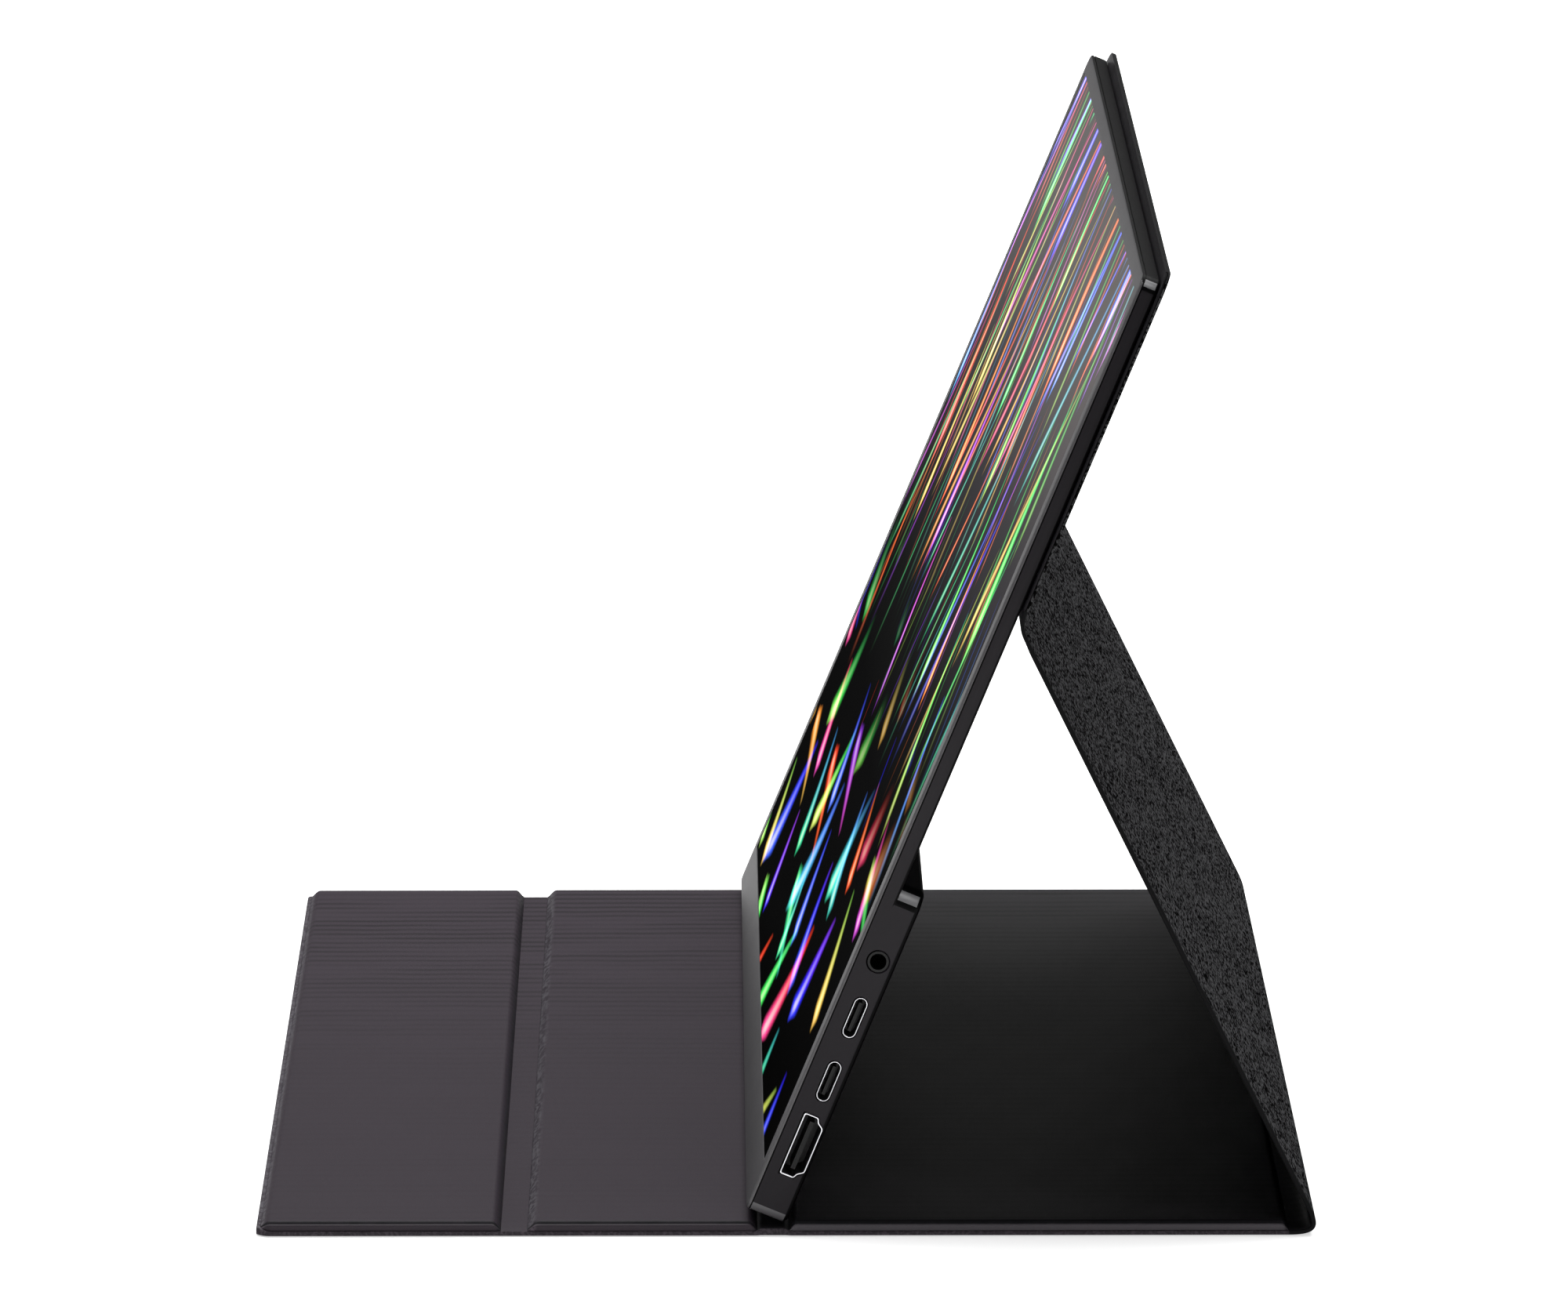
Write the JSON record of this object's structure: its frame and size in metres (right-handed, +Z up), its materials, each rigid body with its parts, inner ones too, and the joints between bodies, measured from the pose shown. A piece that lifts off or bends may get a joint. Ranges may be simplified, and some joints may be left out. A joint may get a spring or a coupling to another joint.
{
  "type": "portable monitor with cover",
  "caption": "Flat portable monitor leaning on a folding magnetic cover that forms its base, rear leg and two front flaps, with sockets on one side.",
  "frame": {"origin": "centre of the cover's footprint on the table", "axes": "+X to the side with the sockets, +Y to the back, away from the viewer of the screen, +Z up"},
  "size_m": [0.36, 0.2305, 0.211],
  "materials": {
    "outer_fabric": "woven melange",
    "lining": "fine embossed synthetic leather",
    "flex_strip": "fine embossed synthetic leather",
    "stiffener": "pressed board",
    "magnet": "plated",
    "steel_sheet": "zinc plated",
    "bezel": "fine grained",
    "display_surface": "anti-glare film with a lit picture",
    "display_glass": "polished",
    "light_guide": "clear sheet and foils",
    "led_strip": "bare strip",
    "housing": "fine blasted, dark",
    "circuit_board": "solder resist",
    "cable_film": "polyimide",
    "frame_plastic": "moulded",
    "speaker_box": "moulded",
    "socket_metal": "nickel plated",
    "socket_plastic": "moulded",
    "screw_steel": "plated",
    "key_plastic": "satin"
  },
  "bodies": {
    "base": {"base_fabric": "outer_fabric", "base_board": "stiffener", "base_lining": "lining", "groove_strip": "flex_strip", "spine_strip": "outer_fabric"},
    "inner_flap": {"inner_flap_fabric": "outer_fabric", "inner_flap_board": "stiffener", "inner_flap_lining": "lining", "crease_strip": "flex_strip"},
    "outer_flap": {"outer_flap_fabric": "outer_fabric", "outer_flap_board": "stiffener", "outer_flap_lining": "lining", "flap_magnets": "magnet"},
    "leg": {"leg_fabric": "outer_fabric", "leg_board": "stiffener", "leg_lining": "lining", "fold_strip": "outer_fabric"},
    "back_panel": {"back_panel_fabric": "outer_fabric", "back_panel_plate": "steel_sheet", "back_panel_magnets": "magnet", "back_panel_lining": "lining"},
    "monitor": {"front_bezel": "bezel", "screen_film": "display_surface", "lcd_cell": "display_glass", "backlight": "light_guide", "led_bar": "led_strip", "steel_plate": "steel_sheet", "rear_shell": "housing", "board_frame": "frame_plastic", "key_bracket": "frame_plastic", "main_board": "circuit_board", "button_board": "circuit_board", "display_cable": "cable_film", "speaker_left": "speaker_box", "speaker_right": "speaker_box", "video_socket_shell": "socket_metal", "video_socket_tongue": "socket_plastic", "oval_upper_shell": "socket_metal", "oval_upper_tongue": "socket_plastic", "oval_lower_shell": "socket_metal", "oval_lower_tongue": "socket_plastic", "audio_jack": "socket_plastic", "board_screws": "screw_steel"},
    "power_key": {"power_button": "key_plastic"},
    "rocker_key": {"menu_rocker": "key_plastic"}
  },
  "joints": [
    {"name": "leg_hinge", "type": "hinge", "parent": "base", "child": "leg", "pos_m": [0, 0.114, 0.0023], "axis": [-1, 0, 0], "range_deg": [0, 113.8], "deforming": ["spine_strip"]},
    {"name": "back_fold", "type": "hinge", "parent": "leg", "child": "back_panel", "pos_m": [0, 0.05111, 0.13448], "axis": [1, 0, 0], "range_deg": [0, 43.8], "deforming": ["fold_strip"]},
    {"name": "monitor_pull_off", "type": "slide", "parent": "back_panel", "child": "monitor", "axis": [0, -0.9232, 0.3843], "range_m": [0, 0.03]},
    {"name": "inner_flap_fold", "type": "hinge", "parent": "base", "child": "inner_flap", "pos_m": [0, -0.0048, 0.0003], "axis": [-1, 0, 0], "range_deg": [0, 22], "deforming": ["groove_strip"]},
    {"name": "outer_flap_fold", "type": "hinge", "parent": "inner_flap", "child": "outer_flap", "pos_m": [0, -0.0587, 0.0005], "axis": [-1, 0, 0], "range_deg": [0, 95], "deforming": ["crease_strip"]},
    {"name": "power_press", "type": "slide", "parent": "monitor", "child": "power_key", "axis": [1, 0, 0], "range_m": [0, 0.0005], "stiffness_N_per_m": 600, "springref_m": -0.0005},
    {"name": "menu_rock", "type": "hinge", "parent": "monitor", "child": "rocker_key", "pos_m": [-0.1756, 0.01338, 0.04307], "axis": [0, 0.9232, -0.3843], "range_deg": [-4, 4], "stiffness_Nm_per_rad": 0.05}
  ],
  "couplings": [
    {"joint": "back_fold", "follows": "leg_hinge", "ratio": 0.384}
  ]
}
